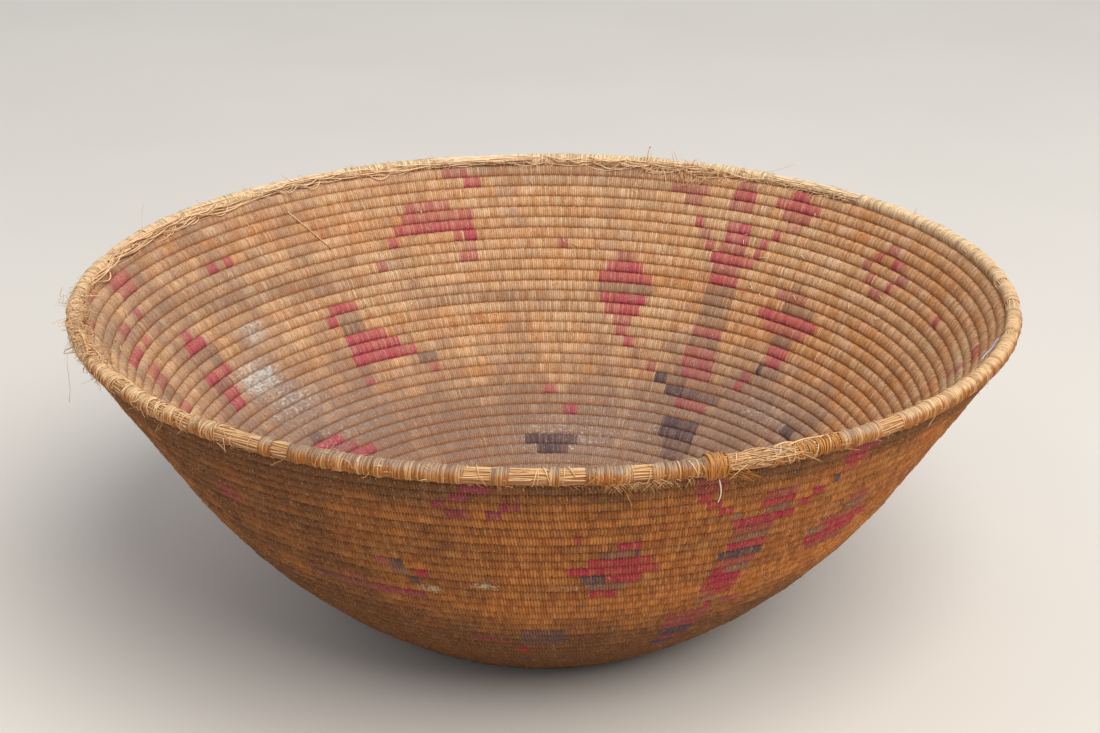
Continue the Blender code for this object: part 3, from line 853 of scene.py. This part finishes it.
paths = rim_place(degrees, LOOSE_REACH + lift - sink, turned)
side = paths - rim_place(degrees, 0, 0)
widths = LOOSE_HALF_WIDTH * random.uniform(0.5, 1.4, (LOOSE_TURNS, 1)) * (0.6 + 0.4 * arch)
widths[:LOOSE_AT_LEFT] *= 1.3
widths[-WORN_WRAP_TURNS:] *= 1.5
tone = random.uniform(0, 1, LOOSE_TURNS)
dry_fibre = straw_material("dry_grass_fibre", "#F8DEB6", "#E8BA84", "#A26A3A", "#CC8E4C", 0.6)
golden_strand = straw_material("golden_tie_strand", "#CC9450", "#B27028", "#704012", "#A45E1A", 0.5)
for name, taken, material in (("rim_loose_turns", slice(0, -WORN_TURNS), dry_fibre),
                              ("rim_worn_wrap", slice(-WORN_TURNS, None), golden_strand)):
    straw_piece(name, paths[taken], widths[taken], 6, side[taken], tone[taken], material, 0.45, "rim_bundle")


# Slipped stalks: split stalks that have worked out of the bundle where it is bare at the back and by the
# tie. They lie along its underside on the top course, bowed out in the middle, with both ends still held.
# Number, from and to (degrees), shortest and longest (degrees), turn round the rim from and to, and bow
SLIPPED_STRETCHES = (
    (90, 110, 176, 3, 15, 1.3, 2.5, 0.0064),
    (60, 58, 100, 2, 9, 1.4, 2.6, 0.0060),
    (16, 196, 236, 3, 9, 0.6, 2.0, 0.0020),
    (14, 288.6, 300, 2, 6, 0.2, 2.2, 0.0018),
)
SLIPPED_STEPS = 18
SLIPPED_REACH = 0.0050
SLIPPED_HALF_WIDTH = 0.00058
# Painted light: this straw is paler and more orange than the rim's, to offset the shade under the rim where
# the slipped stalks lie. The frays at the back take it too.
golden_fibre = straw_material("golden_dry_fibre", "#FAD29C", "#F0B676", "#B47446", "#E09A58", 0.6)
random = np.random.default_rng(67)
part = np.linspace(0, 1, SLIPPED_STEPS)
arch = np.sin(math.pi * part)
sets = []
for number, first, last, short, long, low, high, bow in SLIPPED_STRETCHES:
    each = (number, 1)
    span = random.uniform(short, long, each)
    degrees = random.uniform(first, last, each) + span * (part - 0.5)
    turned = random.uniform(low, high, each) + random.uniform(0, 0.5, each) * arch
    turned = turned + random.normal(0, 0.25, each) * part
    reach = SLIPPED_REACH + bow * random.uniform(0.1, 1, each) * arch
    sets.append(rim_place(degrees, reach, turned))
paths = np.concatenate(sets)
widths = SLIPPED_HALF_WIDTH * random.uniform(0.5, 1.2, (len(paths), 1)) * (0.7 + 0.3 * arch)
straw_piece("rim_slipped_stalks", paths, widths, STALK_SIDES, UPRIGHT, random.uniform(0.3, 1, len(paths)),
            golden_fibre, 0.7, "rim_bundle")


# Frayed ends: broken strand and split straw that stand out from the rim, thickest at the left, where the
# binding has come apart, under the near side and by the tie.
FRAY_STEPS = 7
FRAY_REACH = 0.0051
# Number, from and to (degrees), turn round the rim from and to, shortest and longest, half width, and how
# far each runs along the rim, across it and away from it, droops and curls, for each stretch of fraying
RIM_FRAYS = (
    (300, 0, 360, 2.3, 4.6, 0.0015, 0.005, 0.00017, 1.0, 0.3, 0.20, 0.3, 0.15),
    (700, 0, 360, 0, 6.3, 0.003, 0.012, 0.00024, 1.0, 0.35, 0.10, 0.05, 0.10),
    (430, 186, 210, 0.2, 3.6, 0.004, 0.015, 0.00036, 1.0, 0.9, 0.22, 0.1, 0.35),
    (300, 178, 236, 0, 6.3, 0.003, 0.010, 0.00032, 0.8, 0.5, 0.25, 0.1, 0.15),
    (70, 184, 213, 4.4, 6.3, 0.002, 0.006, 0.00024, 0.8, 0.5, 0.40, 0.3, 0.2),
    (180, 276.4, 283.0, 3.4, 4.5, 0.003, 0.008, 0.00023, 1.2, 0.4, 0.26, 0.35, 0.3),
    (50, 262, 285, 3.5, 4.5, 0.002, 0.006, 0.00016, 0.8, 0.4, 0.30, 0.5, 0.2),
    (90, 288.6, 297, 5.0, 8.2, 0.006, 0.016, 0.00034, 1.4, 0.2, 0.08, 0.0, 0.05),
)
TIE_FRAYS = (
    (150, 288.2, 290.4, 3.3, 4.4, 0.005, 0.016, 0.00030, 1.3, 0.3, 0.26, 0.15, 0.12),
    (60, 275.5, 286, 3.6, 4.6, 0.003, 0.008, 0.00026, 0.7, 0.6, 0.40, 0.45, 0.25),
)
BACK_FRAYS = (
    (300, 40, 98, 1.2, 2.9, 0.004, 0.012, 0.00026, 1.0, 0.5, 0.25, 0.25, 0.15),
    (260, 61.5, 75, 2.0, 3.0, 0.007, 0.019, 0.00036, 0.5, 0.8, 0.40, 0.9, 0.35),
    (420, 104, 182, 1.2, 2.9, 0.004, 0.014, 0.00028, 1.1, 0.5, 0.22, 0.1, 0.12),
)


def fray_paths(random, degrees, turned, length, along, across, away, droop, curl):
    """Fibres that leave the rim. Each starts on it and heads along it, across it and away from it, bends
    down as the square of the way, and curls to one side as a sine."""
    values = [np.reshape(value, (-1, 1, 1)) for value in (length, along, across, away, droop, curl)]
    length, along, across, away, droop, curl = values
    part = np.linspace(0, 1, FRAY_STEPS)[:, None]
    start = rim_place(degrees, FRAY_REACH, turned)[:, None]
    out = start - rim_place(degrees, 0.0, turned)[:, None]
    out /= np.linalg.norm(out, axis=-1, keepdims=True)
    around = np.radians(degrees)
    ahead = np.stack((-np.sin(around), np.cos(around), 0 * around), axis=-1)[:, None]
    sideways = np.cross(ahead, out)
    heading = along * ahead + across * sideways + away * out
    heading = heading / np.linalg.norm(heading, axis=-1, keepdims=True)
    waves = random.uniform(2, 6, length.shape)
    bend = -UPRIGHT * droop * part ** 2
    return start + length * (heading * part + bend + sideways * curl * np.sin(part * waves))


for name, seed, rows, material in (("rim_frays", 91, RIM_FRAYS, dry_fibre),
                                   ("tie_frays", 92, TIE_FRAYS, golden_strand),
                                   ("back_frays", 93, BACK_FRAYS, golden_fibre)):
    random = np.random.default_rng(seed)
    paths, widths = [], []
    for number, first, last, low, high, short, long, half_width, along, across, away, droop, curl in rows:
        paths.append(fray_paths(
            random, random.uniform(first, last, number), random.uniform(low, high, number),
            short + (long - short) * random.uniform(0, 1, number) ** 2,
            along * random.uniform(0.3, 1, number) * random.choice((-1, 1, 1), number),
            across * random.normal(0, 1, number), away * random.uniform(0.1, 1.8, number),
            droop * random.uniform(0, 1.5, number), curl * random.normal(0, 1, number)))
        uneven = half_width * random.uniform(0.5, 1.5, (number, 1))
        widths.append(uneven * np.linspace(1, 0.35, FRAY_STEPS))
    paths = np.concatenate(paths)
    sideways = random.normal(0, 1, (len(paths), 1, 3))
    straw_piece(name, paths, np.concatenate(widths), 3, sideways, random.uniform(0, 1, len(paths)),
                material, 1.0, "rim_bundle")


# Long stray fibres that the photograph shows one by one, at the back, at the left corner and below the tie.
# Place around the rim, turn round it, length, and how far each runs along, across and away, droops, curls
STRAY_FIBRES = (
    (159.5, 0.45, 0.021, -0.30, 0, 1.0, -0.05, 0.06),
    (55.8, 0.60, 0.028, -1.0, 0, 0.30, -0.12, 0.05),
    (184.0, 6.0, 0.014, 0.4, 0, 1.0, 0.5, 0.5),
    (186.0, 5.8, 0.011, 0.5, 0, 1.0, 0.6, 0.5),
    (192.0, 5.2, 0.006, 0.2, 0, 1.0, 0.2, 0.1),
    (201.0, 4.6, 0.019, 0.5, 0, 0.5, 1.0, -0.2),
    (277.5, 4.0, 0.009, 0.7, 0, 0.5, 0.9, 0.1),
)
STRAY_HALF_WIDTH = 0.00014
paths = fray_paths(np.random.default_rng(97), *np.array(STRAY_FIBRES).T)
side = np.random.default_rng(98).normal(0, 1, (len(paths), 1, 3))
straw_piece("rim_stray_fibres", paths, np.full(paths.shape[:2], STRAY_HALF_WIDTH), 4, side,
            np.full(len(paths), 0.8), dry_fibre, 1.0, "rim_bundle")


# Scraps of straw caught on the inside of the upper courses: one long straw on the back left and small bits.
# Each runs straight from one place to another, given in degrees and metres down the wall from the rim.
LONG_STRAW = (132.7, 0.022, 127.4, 0.060)
SCRAPS = 70
SCRAP_LENGTH = 0.0065
SCRAP_HALF_WIDTH = 0.00030
LYING_HEIGHT = 0.0052
LYING_STEPS = 4
random = np.random.default_rng(103)
begin = np.stack((random.uniform(20, 215, SCRAPS), random.uniform(0.010, 0.1, SCRAPS)))
way = random.uniform(0, math.tau, SCRAPS)
reach = SCRAP_LENGTH * random.uniform(0.3, 1, SCRAPS)
run = np.stack((np.degrees(np.cos(way) / RIM_RADIUS), np.sin(way)))
scraps = np.concatenate((begin, begin + reach * run)).T
ends = np.concatenate((np.array(LONG_STRAW)[None], scraps))[:, :, None]
part = np.linspace(0, 1, LYING_STEPS)
degrees = ends[:, 0] + (ends[:, 2] - ends[:, 0]) * part
down = ends[:, 1] + (ends[:, 3] - ends[:, 1]) * part
paths = rim_place(degrees, np.hypot(down, LYING_HEIGHT), np.arctan2(LYING_HEIGHT, -down))
widths = np.full(paths.shape[:2], SCRAP_HALF_WIDTH)
widths[0] *= 1.6
straw_piece("lying_straws", paths, widths, 4, UPRIGHT, np.full(len(paths), 0.9), dry_fibre, 0.7,
            "upper_wall_coil")


# The loose white end of the tie's strand: it leaves the knot low on the near side and hangs almost straight
# down, swaying a little, over the top courses. Light has bleached it.
LOOSE_END_STEPS = 18
LOOSE_END_HALF_WIDTH = 0.00042
LOOSE_END_LENGTH = 0.0145
part = np.linspace(0, 1, LOOSE_END_STEPS)
knot_end = rim_place(np.array(287.75), 0.0074, 4.05)
sway = np.stack((0.0016 * np.sin(2.6 * part) - 0.0010 * part ** 2, -0.0012 * np.sin(math.pi * part),
                 -LOOSE_END_LENGTH * part), axis=-1)
width = LOOSE_END_HALF_WIDTH * np.linspace(1, 0.7, LOOSE_END_STEPS)[None]
bleached_strand = straw_material("bleached_strand", "#F4EBDC", "#EADCC4", "#C8A880", "#E6D4B6", 0.6)
straw_piece("tie_loose_end", (knot_end + sway)[None], width, 6, np.array((0.3, 1.0, 0.0)),
            np.array((0.8,)), bleached_strand, 0.5, "rim_tie")


# The tie's outer turns: strand crossed over the bundle's two ends at a slant and knotted on the near side.
# Three of the turns cross right over the knot.
KNOT_TURNS = 22
KNOT_STEPS = 24
KNOT_HALF_WIDTH = 0.00054
KNOT_REACH = 0.0052
KNOT_BULGE = 0.0021
KNOT_UNEVENNESS = 0.0004
KNOT_TUCK = 0.0008
KNOT_HALF_DEGREES = 1.7
random = np.random.default_rng(83)
part = np.linspace(0, 1, KNOT_STEPS)
start = random.uniform(286.0, 288.3, KNOT_TURNS)
slant = random.uniform(-0.9, 0.9, KNOT_TURNS)
slant[:3] = (1.9, 1.6, -1.7)
degrees = np.clip(start[:, None] + slant[:, None] * part, 285.8, 288.7)
turned = random.uniform(0, math.tau, KNOT_TURNS)[:, None] + 4.6 * part
bulge = np.sqrt(np.clip(1 - ((degrees - TIE_MIDDLE) / KNOT_HALF_DEGREES) ** 2, 0, 1))
reach = KNOT_REACH + KNOT_BULGE * bulge + KNOT_UNEVENNESS * random.uniform(0, 1, (KNOT_TURNS, 1))
reach = reach - KNOT_TUCK * np.clip(1 - 4 * np.sin(math.pi * part), 0, 1)
paths = rim_place(degrees, reach, turned)
side = paths - rim_place(degrees, 0, 0)
widths = KNOT_HALF_WIDTH * random.uniform(0.6, 1.3, (KNOT_TURNS, 1)) * np.ones(KNOT_STEPS)
straw_piece("rim_tie_turns", paths, widths, 6, side, random.uniform(0, 1, KNOT_TURNS),
            golden_strand, 0.5, "rim_tie")


# Fuzz on the courses: short broken grass fibres, 1 to 5 mm long, that lie on the sewn strand or stand a
# little off it, inside and out, from above the heel to the rim.
FUZZ_FIBRES = 5200
FUZZ_STEPS = 4
FUZZ_HALF_WIDTH = 0.00010
FUZZ_LIFT = 0.00008
FUZZ_FIRST_TURN = 14.5
FUZZ_SHORTEST = 0.0012
FUZZ_SPREAD = 0.004
random = np.random.default_rng(63)
ring = random.integers(ring_at(FUZZ_FIRST_TURN), coil_rings - 40, FUZZ_FIBRES)
side = random.choice((2, 3, 7, 8), FUZZ_FIBRES)
start = coil_points[ring, side]
away = start - coil_points[ring].mean(axis=1)
away /= np.linalg.norm(away, axis=1, keepdims=True)
along = coil_points[ring + 8, side] - start
along /= np.linalg.norm(along, axis=1, keepdims=True)
across = np.cross(away, along)
heading = random.normal(0, 0.8, FUZZ_FIBRES)[:, None]
way = along * np.cos(heading) + across * np.sin(heading)
length = FUZZ_SHORTEST + FUZZ_SPREAD * random.uniform(0, 1, FUZZ_FIBRES) ** 3
part = np.linspace(0, 1, FUZZ_STEPS)[:, None]
bow = np.sin(math.pi * part) * random.uniform(0, 0.25, (FUZZ_FIBRES, 1, 1)) + 0.03
paths = (start + FUZZ_LIFT * away)[:, None] + length[:, None, None] * (
    way[:, None] * part + away[:, None] * bow)
widths = FUZZ_HALF_WIDTH * random.uniform(0.5, 1.5, (FUZZ_FIBRES, 1)) * np.ones(FUZZ_STEPS)
points, groups, owners = bars(paths, widths, 3, away[:, None])
tone = random.uniform(0, 1, FUZZ_FIBRES)
broken_fibre = straw_material("broken_grass_fibre", "#D8B27C", "#A87440", "#5E3C1E", "#A06A34", 0.7)
course_fuzz = make_mesh("course_fuzz", points, groups, broken_fibre,
                        {"tone": [tone[owner] for owner in owners]})
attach(course_fuzz, "root")
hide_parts("upper_wall_coil", "middle_wall_coil", "lower_wall_coil")


# A scrap of pale blue spun thread, about 30 mm long, caught on the top course inside the bowl at the right.
THREAD_STEPS = 16
THREAD_HALF_WIDTH = 0.00055
part = np.linspace(0, 1, THREAD_STEPS)
reach = 0.0125 - 0.0058 * part + 0.0006 * np.sin(9 * part)
path = rim_place(335.2 + 5.6 * part, reach, 2.55 - 0.35 * part)[None]
blue_thread = straw_material("pale_blue_thread", "#B4BEDA", "#98A4C8", "#6F7BA4", "#98A4C8", 0.8)
straw_piece("thread_scrap", path, np.full((1, THREAD_STEPS), THREAD_HALF_WIDTH), 6, UPRIGHT,
            np.array((0.6,)), blue_thread, 0.6, "rim_bundle")
